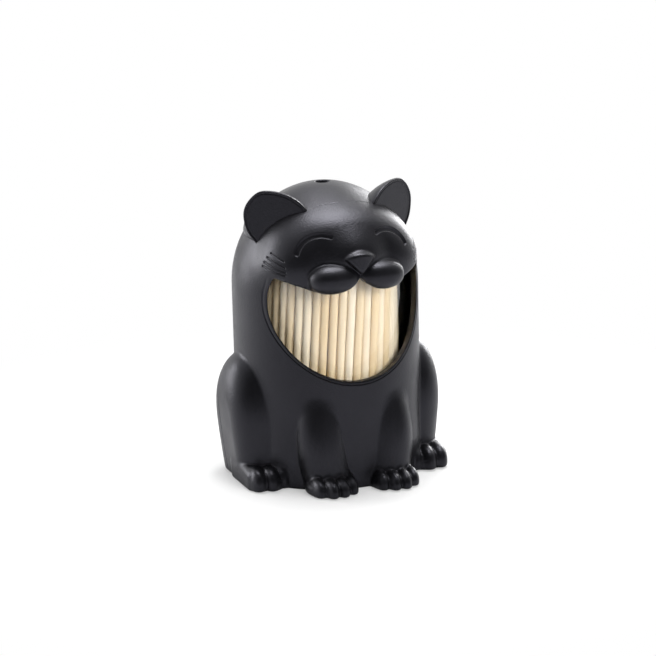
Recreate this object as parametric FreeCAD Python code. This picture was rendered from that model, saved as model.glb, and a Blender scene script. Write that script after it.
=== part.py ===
import FreeCAD, Part

import math
import os

Vector = FreeCAD.Vector

# Toothpick dispenser moulded as a sitting cat. Millimetres, +Z up, the cat faces -Y.
# The origin is on the table, on the axis of the round body. The picks set the size:
# the cup is as wide as their rings, the shell clears the cup, and the dome clears the tips.

# ---------------------------------------------------------------- driving sizes

# Toothpicks: one on the axis and rings of them round it, leaning a little as a bundle does
pick_length = 65.0
pick_radius = 1.05
pick_tip_radius = 0.18
pick_taper = 7.0
pick_pitch = 2.37
pick_ring_step = 2.47
pick_ring_count = 8
pick_lean = 4.0
pick_side_play = 0.3
pick_seat_gap = 0.02
pick_to_dome = 0.54

# Clear cup that holds them
cup_wall = 1.6
cup_floor = 1.0
cup_to_dome = 0.9
cup_to_shell = 1.29

# Shell of the cat: an upright cylinder under half an ellipsoid
shell_wall = 2.1
dome_height = 28.2
outlet_bore = 4.2

# Plug that closes the bottom and grips the cup
plug_floor = 1.2
plug_collar_height = 9.0
plug_running_gap = 0.06
plug_cup_gap = 0.03
nail_notch_width = 14.0
nail_notch_height = 2.4
nail_groove_depth = 0.9
nail_lip = 0.8

# Mouth window in the front view: a circle, closed above by the muzzle's edge.
# Heights on the head are measured from the dome's spring line.
mouth_radius = 22.0
mouth_centre_up = -1.0
mouth_corner_up = 6.2
muzzle_low_x = 8.7
muzzle_low_up = 2.4
muzzle_edge_radius = 11.2
muzzle_arc_reach = 5.3

# Forms of the face: (x, behind the body's front, above the spring line), (half sizes)
mask_place = (0.0, 17.0, 12.0)
mask_half = (20.6, 16.6, 12.8)
cheek_place = (11.0, 13.0, 8.4)
cheek_half = (10.2, 11.0, 8.0)
snout_place = (0.0, 5.7, 10.8)
snout_half = (8.5, 8.0, 6.6)
lobe_place = (6.6, 2.5, 6.9)
lobe_half = (7.9, 5.3, 4.6)

# Nose: a rounded triangle with an arched top
nose_half_width = 4.6
nose_corner_up = 12.2
nose_top_up = 14.0
nose_tip_up = 7.8
nose_proud = 0.9
nose_rounding = 0.9

# Engraved closed eyes and whiskers
eye_inner = (6.6, 17.3)
eye_top = (9.7, 18.0)
eye_outer = (15.9, 13.5)
eye_line_width = 1.1
whisker_count = 4
whisker_inner_x = 18.6
whisker_outer_x = 23.2
whisker_top_up = 11.5
whisker_pitch = 1.35
whisker_rise = 1.9
whisker_width = 0.5
engraving_depth = 0.6

# Ears: a flat front face on a yawed upright plane, (reach along it, above the spring line),
# with a thin plate and a rounded back behind it
ear_yaw = 33.0
ear_inner_x = 10.0
ear_inner_back = 12.55
ear_inner_up = 23.8
ear_crest = (6.4, 27.85)
ear_tip = (13.2, 28.5)
ear_side = (17.7, 21.9)
ear_foot = (13.9, 15.0)
ear_root = (2.0, 15.6)
ear_plate = 1.0
ear_back_steps = ((3.4, 0.94), (6.4, 0.76), (9.0, 0.5))

# Haunches: a pad on each side, arched above, with a rolled edge. Below its widest place it
# draws in towards the table.
haunch_centre_y = 0.1
haunch_spring_z = 15.0
haunch_half_length = 13.4
haunch_arch_height = 20.8
haunch_stand_out = 5.3
haunch_rolled_edge = 7.9
haunch_widest_z = 26.0
haunch_lean = 4.6

# Feet and legs: (x beside the axis, behind the body's front, height), (half sizes)
hind_foot_place = (23.9, 18.0)
hind_foot_half_width = 5.0
hind_foot_half_length = 9.2
hind_foot_height = 6.3
hind_foot_corner = 2.8
hind_foot_edge = 1.9
hind_toe_places = ((20.9, 12.1, 2.3), (24.0, 11.3, 2.3), (27.0, 12.4, 2.3))
hind_toe_half = (2.1, 5.4, 4.2)

# Front legs: round bars whose middle line bends back into the body above the knee
# (distance and angle from a point on the body's middle, a little in front of its axis)
leg_radius = 6.6
leg_pole_y = -0.9
leg_away = 22.15
leg_knee_z = 9.0
leg_bend = 0.0126
leg_turn = 26.0
leg_turn_in = 8.5
leg_turn_fade = 9.0
leg_heights = (-3.0, 2.0, 7.0, 12.0, 17.0, 22.0, 28.0)
paw_place = (9.4, 1.4, 1.4)
paw_half = (7.3, 7.9, 4.6)
fore_toe_places = ((4.9, -0.4, 1.9), (7.7, -2.5, 1.9), (11.0, -2.8, 1.9), (13.9, -0.4, 1.9))
fore_toe_half = (2.3, 4.9, 3.5)

# Tail in low relief, lying round the foot of the back (angles from the back's middle)
tail_radius = 3.1
tail_sunk = 0.8
tail_height = 5.6
tail_from = -24.0
tail_to = 52.0

# Seam between the two half shells: over the crown it follows the ears' front faces,
# and below the ears it runs straight down both sides
seam_crown_step = 0.55
seam_side_y = 4.1
seam_shoulder_up = 14.2

# Locating pegs of the seam, inside the haunches
peg_radius = 1.6
peg_length = 4.0
peg_stand_out = 1.3
peg_heights = (9.0, 22.0)
peg_gap = 0.08

# Cutters reach this far past the surfaces that they cut
reach = 60.0

# ---------------------------------------------------------------- sizes that follow

cup_inner_radius = pick_ring_count * pick_ring_step + pick_radius + pick_side_play
cup_outer_radius = cup_inner_radius + cup_wall
cavity_radius = cup_outer_radius + cup_to_shell
body_radius = cavity_radius + shell_wall
front_y = -body_radius
cavity_dome = dome_height - shell_wall
cup_floor_z = plug_floor + cup_floor
pick_foot_z = cup_floor_z + pick_seat_gap
pick_top_z = pick_foot_z + pick_length


def dome_fall(radius):
    """Height of the inner dome above its spring line at a radius."""
    return cavity_dome * math.sqrt(max(0.0, 1.0 - (radius / cavity_radius) ** 2))


outer_ring_radius = pick_ring_count * pick_ring_step
lean_swing = math.tan(math.radians(pick_lean)) * pick_length / 2
outer_tip_radius = math.hypot(outer_ring_radius, lean_swing) + pick_tip_radius
spring_z = pick_top_z + pick_to_dome - dome_fall(outer_tip_radius)
crown_z = spring_z + dome_height
cup_top_z = spring_z + dome_fall(cup_outer_radius) - cup_to_dome


# ---------------------------------------------------------------- small helpers

def on_side(place, side):
    """A place on the head, left (+1) or right (-1) of the middle."""
    return Vector(side * place[0], front_y + place[1], spring_z + place[2])


def by_floor(place, side):
    """A place on the legs, its height measured from the table."""
    return Vector(side * place[0], front_y + place[1], place[2])


def ellipsoid(centre, half, grow=0.0):
    """A closed ellipsoid, its half sizes grown evenly."""
    stretch = FreeCAD.Matrix()
    stretch.scale(half[0] + grow, half[1] + grow, half[2] + grow)
    solid = Part.makeSphere(1.0).transformGeometry(stretch)
    solid.translate(centre)
    return solid


def upright_cylinder(radius, low_z, high_z):
    """A cylinder on the body's axis between two heights."""
    return Part.makeCylinder(radius, high_z - low_z, Vector(0, 0, low_z))


def block(low, high):
    """A box between two corners."""
    size = high - low
    return Part.makeBox(size.x, size.y, size.z, low)


def ellipse_curve(centre, first_axis, second_axis):
    """Ellipse from its centre and two half axes, whichever is the longer."""
    if first_axis.Length >= second_axis.Length:
        return Part.Ellipse(centre + first_axis, centre + second_axis, centre)
    return Part.Ellipse(centre + second_axis, centre + first_axis, centre)


def round_body(radius, dome, foot_z):
    """Upright cylinder closed by half an ellipsoid, turned about the axis."""
    spring = Vector(0, 0, spring_z)
    curve = ellipse_curve(spring, Vector(radius, 0, 0), Vector(0, 0, dome))
    dome_edge = Part.ArcOfEllipse(curve, 0, math.pi / 2).toShape()
    top = Vector(0, 0, spring_z + dome)
    foot = Vector(0, 0, foot_z)
    rim = Vector(radius, 0, foot_z)
    shoulder = Vector(radius, 0, spring_z)
    sides = [Part.makeLine(top, foot), Part.makeLine(foot, rim), Part.makeLine(rim, shoulder)]
    wire = Part.Wire(Part.__sortEdges__(sides + [dome_edge]))
    return Part.Face(wire).revolve(Vector(0, 0, 0), Vector(0, 0, 1), 360)


def front_prism(edges, start_y, end_y):
    """An outline drawn in the front view, carried from one depth to another."""
    face = Part.Face(Part.Wire(edges))
    face.translate(Vector(0, start_y, 0))
    return face.extrude(Vector(0, end_y - start_y, 0))


def arc(first, middle, last):
    """Circular arc through three points."""
    return Part.Arc(first, middle, last).toShape()


# ---------------------------------------------------------------- outer forms

def head_forms(grow=0.0):
    """Dome, mask, cheeks and snout, which carry the engraving."""
    forms = [round_body(body_radius + grow, dome_height + grow, 0.0)]
    forms.append(ellipsoid(on_side(mask_place, 1), mask_half, grow))
    forms.append(ellipsoid(on_side(snout_place, 1), snout_half, grow))
    for side in (1, -1):
        forms.append(ellipsoid(on_side(cheek_place, side), cheek_half, grow))
    return forms


def nose():
    """A three-cornered pad with an arched top, standing evenly out of the snout."""
    left = Vector(-nose_half_width, 0, spring_z + nose_corner_up)
    right = Vector(nose_half_width, 0, spring_z + nose_corner_up)
    top = Vector(0, 0, spring_z + nose_top_up)
    tip = Vector(0, 0, spring_z + nose_tip_up)
    edges = [arc(left, top, right), Part.makeLine(right, tip), Part.makeLine(tip, left)]
    centre = on_side(snout_place, 1)
    prism = front_prism(edges, -reach, centre.y)
    corners = [edge for edge in prism.Edges if edge.BoundBox.YLength > reach / 2]
    prism = prism.makeFillet(nose_rounding, corners)
    return prism.common(ellipsoid(centre, snout_half, nose_proud))


def haunch(side):
    """An arched pad standing out from the side, its rolled edge running down past the table."""
    inner_x = side * body_radius / 2
    outer_x = side * (body_radius + haunch_stand_out)
    spring = Vector(inner_x, haunch_centre_y, haunch_spring_z)
    curve = ellipse_curve(spring, Vector(0, haunch_half_length, 0), Vector(0, 0, haunch_arch_height))
    arch = Part.Face(Part.Wire([curve.toShape()])).extrude(Vector(outer_x - inner_x, 0, 0))
    low = Vector(min(inner_x, outer_x), haunch_centre_y - haunch_half_length, -reach)
    high = Vector(max(inner_x, outer_x), haunch_centre_y + haunch_half_length, haunch_spring_z)
    pad = arch.fuse(block(low, high)).removeSplitter()
    rim = [edge for edge in pad.Edges
           if abs(edge.BoundBox.XMin - outer_x) < 0.001 and abs(edge.BoundBox.XMax - outer_x) < 0.001
           and edge.BoundBox.ZMax > 0]
    pad = pad.makeFillet(haunch_rolled_edge, rim)
    pad.rotate(Vector(outer_x, 0, haunch_widest_z), Vector(0, 1, 0), side * haunch_lean)
    return pad


def hind_foot(side):
    """A low foot beside the haunch, flat on its outer side, with three toes."""
    half = Vector(hind_foot_half_width, hind_foot_half_length, hind_foot_height)
    centre = by_floor((hind_foot_place[0], hind_foot_place[1], 0.0), side)
    foot = block(centre - half, centre + half)
    corners = [edge for edge in foot.Edges if edge.BoundBox.ZLength > half.z]
    foot = foot.makeFillet(hind_foot_corner, corners)
    upper = [edge for edge in foot.Edges if edge.BoundBox.ZMin > half.z - 0.001]
    forms = [foot.makeFillet(hind_foot_edge, upper)]
    forms += [ellipsoid(by_floor(place, side), hind_toe_half) for place in hind_toe_places]
    return forms


def leg_circle(height, side):
    """The leg's round section at one height."""
    away = leg_away - leg_bend * max(height - leg_knee_z, 0.0) ** 2
    turn = math.radians(leg_turn - leg_turn_in * math.exp(-height / leg_turn_fade))
    centre = Vector(side * away * math.sin(turn), leg_pole_y - away * math.cos(turn), height)
    return Part.Wire([Part.makeCircle(leg_radius, centre)])


def front_leg(side):
    """A leg that leans back into the body, its paw and four toes."""
    forms = [Part.makeLoft([leg_circle(height, side) for height in leg_heights], True, False)]
    forms.append(ellipsoid(by_floor(paw_place, side), paw_half))
    forms += [ellipsoid(by_floor(place, side), fore_toe_half) for place in fore_toe_places]
    return forms


def tail():
    """A round bar bent round the foot of the back, half sunk in the body."""
    around = body_radius - tail_sunk
    bar = Part.makeTorus(around, tail_radius, Vector(0, 0, tail_height), Vector(0, 0, 1),
                         -180, 180, tail_to - tail_from)
    bar.rotate(Vector(0, 0, 0), Vector(0, 0, 1), 90 - tail_to)
    ends = []
    for angle in (tail_from, tail_to):
        turn = math.radians(angle)
        place = Vector(around * math.sin(turn), around * math.cos(turn), tail_height)
        ends.append(Part.makeSphere(tail_radius, place))
    return bar.multiFuse(ends)


def ear(side):
    """Flat-fronted ear: a thin plate, and a back that rounds in behind it."""
    yaw = math.radians(ear_yaw)
    along = Vector(math.cos(yaw), math.sin(yaw), 0)
    behind = Vector(-math.sin(yaw), math.cos(yaw), 0)
    inner = Vector(ear_inner_x, front_y + ear_inner_back, 0)
    middle_reach = (ear_side[0] + ear_root[0]) / 2

    def section(depth, scale):
        """The ear's outline at a depth behind its front face, drawn in about its foot."""
        corners = []
        for along_face, up in ((0.0, ear_inner_up), ear_crest, ear_tip, ear_side, ear_foot, ear_root):
            reach_here = middle_reach + (along_face - middle_reach) * scale
            up_here = ear_foot[1] + (up - ear_foot[1]) * scale
            point = inner + along * reach_here + behind * depth
            corners.append(Vector(side * point.x, point.y, spring_z + up_here))
        start, crest, tip, widest, foot, root = corners
        edges = [arc(start, crest, tip), arc(tip, widest, foot)]
        edges.append(Part.makeLine(foot, root))
        edges.append(Part.makeLine(root, start))
        return Part.Wire(edges)

    front = section(0.0, 1.0)
    plate_back = section(ear_plate, 1.0)
    plate = Part.makeLoft([front, plate_back], True, True)
    rounded = [plate_back] + [section(depth, scale) for depth, scale in ear_back_steps]
    back = Part.makeLoft(rounded, True, False)
    return plate.fuse(back)


# ---------------------------------------------------------------- cutters

def mouth_cutter():
    """The window through the front wall, straight along Y."""
    centre_z = spring_z + mouth_centre_up
    corner_z = spring_z + mouth_corner_up
    corner_x = math.sqrt(mouth_radius ** 2 - (corner_z - centre_z) ** 2)
    edge_centre_z = spring_z + muzzle_low_up + muzzle_edge_radius
    cusp_z = edge_centre_z - math.sqrt(muzzle_edge_radius ** 2 - muzzle_low_x ** 2)
    turn_x = muzzle_low_x + muzzle_arc_reach
    turn_z = edge_centre_z - math.sqrt(muzzle_edge_radius ** 2 - muzzle_arc_reach ** 2)
    cusp = Vector(0, 0, cusp_z)
    corners = {side: Vector(side * corner_x, 0, corner_z) for side in (1, -1)}
    turns = {side: Vector(side * turn_x, 0, turn_z) for side in (1, -1)}
    lows = {side: Vector(side * muzzle_low_x, 0, spring_z + muzzle_low_up) for side in (1, -1)}
    bottom = Vector(0, 0, centre_z - mouth_radius)
    edges = [
        arc(corners[-1], bottom, corners[1]),
        Part.makeLine(corners[1], turns[1]),
        arc(turns[1], lows[1], cusp),
        arc(cusp, lows[-1], turns[-1]),
        Part.makeLine(turns[-1], corners[-1]),
    ]
    return front_prism(edges, -reach, 0.0)


def eye_band(side):
    """A curved band in the front view along one closed eye."""
    points = [Vector(side * x, 0, spring_z + up) for x, up in (eye_inner, eye_top, eye_outer)]
    centre = arc(*points).Curve.Center
    spread = eye_line_width / 2

    def pushed(point, amount):
        """The point moved away from the arc's centre."""
        return point + (point - centre).normalize() * amount

    outer = [pushed(point, spread) for point in points]
    inner = [pushed(point, -spread) for point in points]
    edges = [arc(*outer), Part.makeLine(outer[2], inner[2])]
    edges.append(arc(*reversed(inner)))
    edges.append(Part.makeLine(inner[0], outer[0]))
    return front_prism(edges, -reach, front_y / 3)


def whisker_band(side, index):
    """A straight narrow band in the front view along one whisker."""
    start = Vector(side * whisker_inner_x, 0, spring_z + whisker_top_up - index * whisker_pitch)
    end = Vector(side * whisker_outer_x, 0, start.z + whisker_rise)
    half = Vector(0, 0, whisker_width / 2)
    corners = [start + half, end + half, end - half, start - half]
    edges = [Part.makeLine(corners[i], corners[(i + 1) % 4]) for i in range(4)]
    return front_prism(edges, -reach, front_y / 6)


def front_region():
    """Everything in front of the seam between the two half shells."""
    below = block(Vector(-reach, -reach, -reach), Vector(reach, seam_side_y, spring_z + seam_shoulder_up))
    yaw = math.radians(ear_yaw)
    ear_y = front_y + ear_inner_back
    far_x = ear_inner_x + reach * math.cos(yaw)
    far_y = ear_y + reach * math.sin(yaw)
    outline = [
        Vector(far_x, -reach, 0), Vector(far_x, far_y, 0), Vector(ear_inner_x, ear_y, 0),
        Vector(0, ear_y - seam_crown_step, 0),
        Vector(-ear_inner_x, ear_y, 0), Vector(-far_x, far_y, 0), Vector(-far_x, -reach, 0),
    ]
    face = Part.Face(Part.makePolygon(outline + outline[:1]))
    face.translate(Vector(0, 0, spring_z + seam_shoulder_up))
    above = face.extrude(Vector(0, 0, reach))
    return below.fuse(above)


def peg(side, height, radius, length):
    """A bar through the seam in one haunch, starting inside the rear shell."""
    root = Vector(side * (body_radius + peg_stand_out), seam_side_y + peg_length / 2, height)
    return Part.makeCylinder(radius, length + peg_length / 2, root, Vector(0, -1, 0))


# ---------------------------------------------------------------- pieces

def shells():
    """The front and rear half shells of the cat."""
    cavity = round_body(cavity_radius, cavity_dome, -reach)
    below_table = block(Vector(-reach, -reach, -reach), Vector(reach, reach, 0))
    forms = head_forms() + [nose(), tail()]
    for side in (1, -1):
        forms.append(ellipsoid(on_side(lobe_place, side), lobe_half))
        forms.append(haunch(side))
        forms.extend(hind_foot(side))
        forms.extend(front_leg(side))
    body = forms[0].multiFuse(forms[1:]).cut(below_table)
    body = body.cut(cavity).cut(mouth_cutter())

    core = head_forms(-engraving_depth)
    core = core[0].multiFuse(core[1:])
    bands = [eye_band(side) for side in (1, -1)]
    bands += [whisker_band(side, index) for side in (1, -1) for index in range(whisker_count)]
    grooves = [band.cut(core) for band in bands]
    body = body.cut(grooves)

    region = front_region()
    front = body.common(region)
    rear = body.cut(region)
    ears = [ear(side).cut(cavity) for side in (1, -1)]
    rear = rear.multiFuse(ears)
    outlet = upright_cylinder(outlet_bore / 2, spring_z, crown_z + reach)
    notch = block(Vector(-nail_notch_width / 2, 0, -reach),
                  Vector(nail_notch_width / 2, reach, nail_notch_height))
    rear = rear.cut([outlet, notch])
    for side in (1, -1):
        for height in peg_heights:
            rear = rear.fuse(peg(side, height, peg_radius, peg_length))
            front = front.cut(peg(side, height, peg_radius + peg_gap, peg_length + peg_gap))
    return front, rear


def pick_cup():
    """A straight clear cup, open at the top."""
    outside = upright_cylinder(cup_outer_radius, plug_floor, cup_top_z)
    inside = upright_cylinder(cup_inner_radius, cup_floor_z, cup_top_z + reach)
    return outside.cut(inside)


def base_plug():
    """A flat floor with a collar that holds the cup and fits the shell's lower end."""
    radius = cavity_radius - plug_running_gap
    plug = upright_cylinder(radius, 0.0, plug_collar_height)
    seat = upright_cylinder(cup_outer_radius + plug_cup_gap, plug_floor, plug_collar_height + reach)
    groove = block(Vector(-nail_notch_width / 2, radius - nail_groove_depth, nail_lip),
                   Vector(nail_notch_width / 2, reach, nail_notch_height))
    return plug.cut(seat).cut(groove)


def toothpick():
    """One pick, tapered at both ends, standing on the origin."""
    outline = [
        Vector(0, 0, 0), Vector(pick_tip_radius, 0, 0), Vector(pick_radius, 0, pick_taper),
        Vector(pick_radius, 0, pick_length - pick_taper), Vector(pick_tip_radius, 0, pick_length),
        Vector(0, 0, pick_length),
    ]
    face = Part.Face(Part.makePolygon(outline + outline[:1]))
    return face.revolve(Vector(0, 0, 0), Vector(0, 0, 1), 360)


def toothpick_ring(ring):
    """The picks of one ring, each leaning round the axis in step with its radius."""
    radius = ring * pick_ring_step
    count = int(2 * math.pi * radius / pick_pitch)
    lean = math.degrees(math.atan(math.tan(math.radians(pick_lean)) * ring / pick_ring_count))
    picks = []
    for index in range(count):
        turn = 360.0 * index / count
        pick = toothpick()
        pick.rotate(Vector(0, 0, pick_length / 2), Vector(1, 0, 0), -lean)
        pick.translate(Vector(radius, 0, pick_foot_z))
        pick.rotate(Vector(0, 0, 0), Vector(0, 0, 1), turn)
        picks.append(pick)
    return Part.makeCompound(picks)


front_shell, rear_shell = shells()
pieces = {
    "front_shell": front_shell,
    "rear_shell": rear_shell,
    "pick_cup": pick_cup(),
    "base_plug": base_plug(),
}

next_pick = toothpick()
next_pick.translate(Vector(0, 0, pick_foot_z))
pieces["next_toothpick"] = next_pick
for ring in range(1, pick_ring_count + 1):
    pieces["toothpick_ring_%d" % ring] = toothpick_ring(ring)

os.makedirs("parts", exist_ok=True)
for name, shape in pieces.items():
    shape.exportStep("parts/%s.step" % name)
    box = shape.BoundBox
    print(name, "solids", len(shape.Solids), "valid", shape.isValid(), "volume %.0f" % shape.Volume,
          "x %.1f..%.1f y %.1f..%.1f z %.2f..%.2f" % (box.XMin, box.XMax, box.YMin, box.YMax, box.ZMin, box.ZMax))
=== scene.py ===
"""A toothpick dispenser moulded as a sitting cat: its pieces, their finishes, the light and the camera."""

import logging
import math
from dataclasses import dataclass, field
from enum import Enum
from typing import Callable, Sequence

import bmesh
import bpy
import numpy as np
from mathutils import Matrix, Vector


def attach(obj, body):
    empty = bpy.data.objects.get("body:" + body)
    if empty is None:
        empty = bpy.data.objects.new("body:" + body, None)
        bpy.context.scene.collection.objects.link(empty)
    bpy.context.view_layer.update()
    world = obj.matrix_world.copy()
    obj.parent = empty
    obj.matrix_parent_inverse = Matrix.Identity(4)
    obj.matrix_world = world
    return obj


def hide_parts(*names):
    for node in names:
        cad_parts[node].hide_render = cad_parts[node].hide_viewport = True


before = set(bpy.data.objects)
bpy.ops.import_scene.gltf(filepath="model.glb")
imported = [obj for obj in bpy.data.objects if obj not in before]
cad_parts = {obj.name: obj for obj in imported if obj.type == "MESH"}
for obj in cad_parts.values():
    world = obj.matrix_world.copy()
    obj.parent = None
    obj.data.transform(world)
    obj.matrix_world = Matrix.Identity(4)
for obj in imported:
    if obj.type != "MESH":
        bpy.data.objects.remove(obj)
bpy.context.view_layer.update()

Array = np.ndarray
Pair = tuple[float, float]
Point = tuple[float, float, float]
log = logging.getLogger("cat_dispenser")

MM = 0.001
FAR = 1e3


class Body(Enum):
    """The bodies that move on their own."""

    CAT = "cat"
    REFILL_CUP = "refill_cup"
    NEXT_PICK = "next_pick"


class Slot(Enum):
    """The record's slots that the finishes belong to."""

    SHELL = "cat_shell"
    CUP = "clear_cup"
    PICKS = "picks"


# ------------------------------------------------------------------ smooth joins of closed forms


def merged(a: Array, b: Array, soft: float | Array) -> Array:
    """Union of two forms whose crease is filled over a width.

    Args:
        a: distances to the first form, mm, negative inside.
        b: distances to the second form.
        soft: width of the filled crease, mm.

    Returns:
        The smaller of the two, rounded where they are about equal (polynomial smooth minimum).
    """
    h = np.clip(0.5 + 0.5 * (b - a) / soft, 0.0, 1.0)
    return b + (a - b) * h - soft * h * (1.0 - h)


def shared(a: Array, b: Array, soft: float) -> Array:
    """Overlap of two forms with its edge rounded over a width, as the negative of a union of negatives."""
    return -merged(-a, -b, soft)


def ellipsoid(p: Array, centre: Sequence[float], half: Sequence[float]) -> Array:
    """Distance to an ellipsoid, near enough: k0 (k0 - 1) / k1, with k0 = |p/h| and k1 = |p/h^2|."""
    q = (p - np.asarray(centre)) / np.asarray(half)
    k0 = np.sqrt((q * q).sum(1)) + 1e-9
    q = q / np.asarray(half)
    k1 = np.sqrt((q * q).sum(1)) + 1e-9
    return k0 * (k0 - 1.0) / k1


def knob(p: Array, centre: Sequence[float], half: Sequence[float], power: float) -> Array:
    """A squarish ball: the power mean of |p/h| against 1, times the smallest half size."""
    q = np.abs((p - np.asarray(centre)) / np.asarray(half))
    return ((q ** power).sum(1) ** (1.0 / power) - 1.0) * min(half)


def rolled(outline: Array, face: Array, radius: float) -> Array:
    """A flat-faced pad whose rim is a quarter circle between its outline and its face."""
    a = np.maximum(outline + radius, 0.0)
    b = np.maximum(face + radius, 0.0)
    return np.sqrt(a * a + b * b) + np.minimum(np.maximum(outline, face) + radius, 0.0) - radius


def eased(x: Array, low: float, high: float) -> Array:
    """0 below low, 1 above high and an S curve between: t^2 (3 - 2t)."""
    t = np.clip((x - low) / (high - low), 0.0, 1.0)
    return t * t * (3.0 - 2.0 * t)


# ------------------------------------------------------------------ parts of the cat's outer form, mm


@dataclass(frozen=True)
class Ball:
    """An ellipsoid, or a squarish ball where it has a power, and the width of the filled crease round it."""

    centre: Point
    half: Point
    soft: float
    power: float | None = None

    def distance(self, p: Array) -> Array:
        """Distance to the ball alone, near enough."""
        if self.power is None:
            return ellipsoid(p, self.centre, self.half)
        return knob(p, self.centre, self.half, self.power)

    def join(self, p: Array, f: Array) -> Array:
        """The form f with the ball added."""
        return merged(f, self.distance(p), self.soft)


@dataclass(frozen=True)
class Toes:
    """A foot's toes: the same squarish ball at several places."""

    places: tuple[Pair, ...]
    height: float
    half: Point
    power: float
    soft: float

    def join(self, p: Array, f: Array) -> Array:
        """The form f with the toes added one by one."""
        for x, y in self.places:
            f = Ball((x, y, self.height), self.half, self.soft, self.power).join(p, f)
        return f


@dataclass(frozen=True)
class Nose:
    """Three-cornered nose, its heights above the spring line.

    Its outline in the front view is cut by a steep front and a sloping top that meet in a ridge. The top and
    the ridge fall and the front draws back towards the sides with the square of x.
    """

    top: float = 14.7
    top_bend: float = 0.092
    side_slope: Pair = (0.686, -0.727)
    side_place: float = 5.55
    corner: float = 1.0
    front: float = 29.8
    front_bend: float = 0.09
    ridge: float = 13.2
    ridge_bend: float = 0.062
    ridge_slope: float = 0.35
    ridge_edge: float = 0.6
    rim_edge: float = 1.0
    evening: float = 0.9

    def distance(self, p: Array) -> Array:
        """Distance to the nose, with its bent faces evened by a factor."""
        x, y, z = p.T
        side = self.side_slope[0] * x + self.side_slope[1] * z + self.side_place
        outline = shared(z - (self.top - self.top_bend * x * x), side, self.corner)
        inwards = y + self.front - self.front_bend * x * x
        above = (z - self.ridge + self.ridge_bend * x * x) - inwards * self.ridge_slope
        faces = shared(-inwards * self.evening, above * self.evening, self.ridge_edge)
        return shared(outline, faces, self.rim_edge)


@dataclass(frozen=True)
class Haunch:
    """A pad on the side: an arch in the side view, and a face that leans inwards to the floor."""

    centre: Pair = (0.1, 15.0)
    half: Pair = (13.4, 20.8)
    power: float = 2.15
    face: float = 31.4
    lean: float = 2.5
    lean_height: float = 26.0
    lean_power: float = 1.6
    edge: float = 7.9
    soft: float = 0.7

    def join(self, p: Array, f: Array) -> Array:
        """The form f with the haunch added. Below its centre the arch's outline runs straight down."""
        x, y, z = p.T
        arch = np.stack([np.zeros_like(y), y, np.maximum(z, self.centre[1])], 1)
        outline = knob(arch, (0.0, *self.centre), (FAR, *self.half), self.power)
        low = np.maximum(self.lean_height - z, 0.0) / self.lean_height
        face = x - self.face + self.lean * low ** self.lean_power
        return merged(f, rolled(outline, face, self.edge), self.soft)


@dataclass(frozen=True)
class HindFoot:
    """A low block with a flat outer side, a top that falls towards the front, and three toes."""

    centre: Pair = (24.3, -8.1)
    half: Pair = (5.4, 9.2)
    corner: float = 2.8
    top: float = 6.5
    fall: float = 0.012
    fall_from: float = -5.9
    edge: float = 1.9
    toes: Toes = Toes(((19.9, -13.4), (23.4, -14.8), (27.0, -14.0)), 2.0, (2.55, 5.4, 4.3), 2.2, 0.35)
    soft: float = 0.7

    def join(self, p: Array, f: Array) -> Array:
        """The form f with the foot added. The top falls with the square of the way forward."""
        x, y, z = p.T
        across, along = np.abs(x - self.centre[0]) - self.half[0], np.abs(y - self.centre[1]) - self.half[1]
        top = z - (self.top - self.fall * np.minimum(y - self.fall_from, 0.0) ** 2)
        block = rolled(rolled(across, along, self.corner), top, self.edge)
        return merged(f, self.toes.join(p, block), self.soft)


@dataclass(frozen=True)
class Leg:
    """Front leg: an upright round bar whose middle line bends back into the body towards its top."""

    radius: float = 7.15
    away: float = 21.8
    bend: float = 0.0142
    bend_from: float = 9.0
    axis_y: float = -0.9
    turn: float = 28.7
    foot_turn: float = 8.5
    foot_height: float = 9.0
    evening: float = 0.97
    soft_low: float = 0.3
    soft_more: float = 0.7
    soft_heights: Pair = (19.0, 25.0)

    def join(self, p: Array, f: Array) -> Array:
        """The form f with the leg added, its crease crisp low down and soft towards the top.

        The middle line stands away from an upright axis, less the square of the height above a place, and its
        angle round that axis, in degrees, falls exponentially towards the foot.
        """
        x, y, z = p.T
        away = self.away - self.bend * np.maximum(z - self.bend_from, 0.0) ** 2
        turn = np.radians(self.turn - self.foot_turn * np.exp(-z / self.foot_height))
        gap = np.hypot(x - away * np.sin(turn), y - self.axis_y + away * np.cos(turn))
        soft = self.soft_low + self.soft_more * eased(z, *self.soft_heights)
        return merged(f, (gap - self.radius) * self.evening, soft)


@dataclass(frozen=True)
class Tail:
    """A round bar bent round the foot of the back: an arc of a level circle, with ends in degrees."""

    sunk: float = 0.8
    ends: Pair = (-24.0, 52.0)
    height: float = 5.6
    radius: float = 3.1
    soft: float = 0.8

    def join(self, p: Array, f: Array, body_radius: float) -> Array:
        """The form f with the tail added."""
        around = body_radius - self.sunk
        turn = np.clip(np.arctan2(p[:, 0], p[:, 1]), *np.radians(self.ends))
        line = np.stack([around * np.sin(turn), around * np.cos(turn), np.full_like(turn, self.height)], 1)
        return merged(f, np.linalg.norm(p - line, axis=1) - self.radius, self.soft)


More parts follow.
